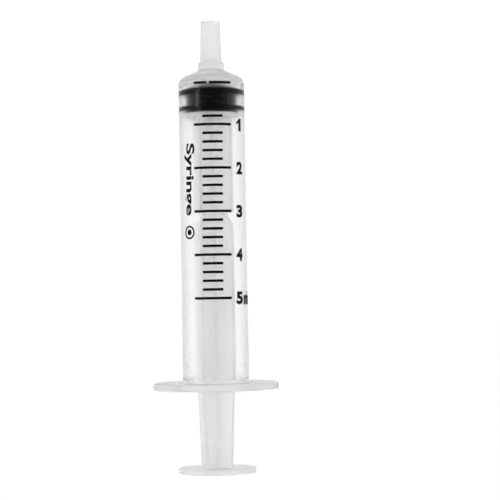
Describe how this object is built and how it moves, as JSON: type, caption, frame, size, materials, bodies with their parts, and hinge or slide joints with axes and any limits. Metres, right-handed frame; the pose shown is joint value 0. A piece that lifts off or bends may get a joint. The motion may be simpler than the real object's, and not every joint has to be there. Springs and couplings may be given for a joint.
{
  "type": "oral syringe",
  "caption": "Small hand syringe: clear graduated barrel with a finger flange and a tapered slip nozzle, and a finned plunger rod that pushes a black rubber stopper.",
  "frame": {"origin": "centre of the thumb rest's underside, on which the syringe stands with its nozzle up", "axes": "+Z along the syringe's axis from the thumb rest to the nozzle's tip; the printed scale faces -Y"},
  "size_m": [0.0258, 0.0258, 0.093],
  "materials": {
    "clear_polypropylene": "clear, faintly milky moulded polypropylene, polished",
    "milky_polypropylene": "natural translucent moulded polypropylene",
    "black_rubber": "smooth siliconised rubber with a soft gloss",
    "scale_ink": "black printed ink"
  },
  "bodies": {
    "barrel": {"barrel": "clear_polypropylene"},
    "stopper": {"stopper": "black_rubber"},
    "plunger_rod": {"plunger_rod": "milky_polypropylene"}
  },
  "joints": [
    {"name": "plunger_slide", "type": "slide", "parent": "barrel", "child": "stopper", "axis": [0, 0, -1], "range_m": [-0.0012, 0.0515]},
    {"name": "rod_swivel", "type": "hinge", "parent": "stopper", "child": "plunger_rod", "pos_m": [0, 0, 0.0765], "axis": [0, 0, 1], "continuous": true}
  ]
}
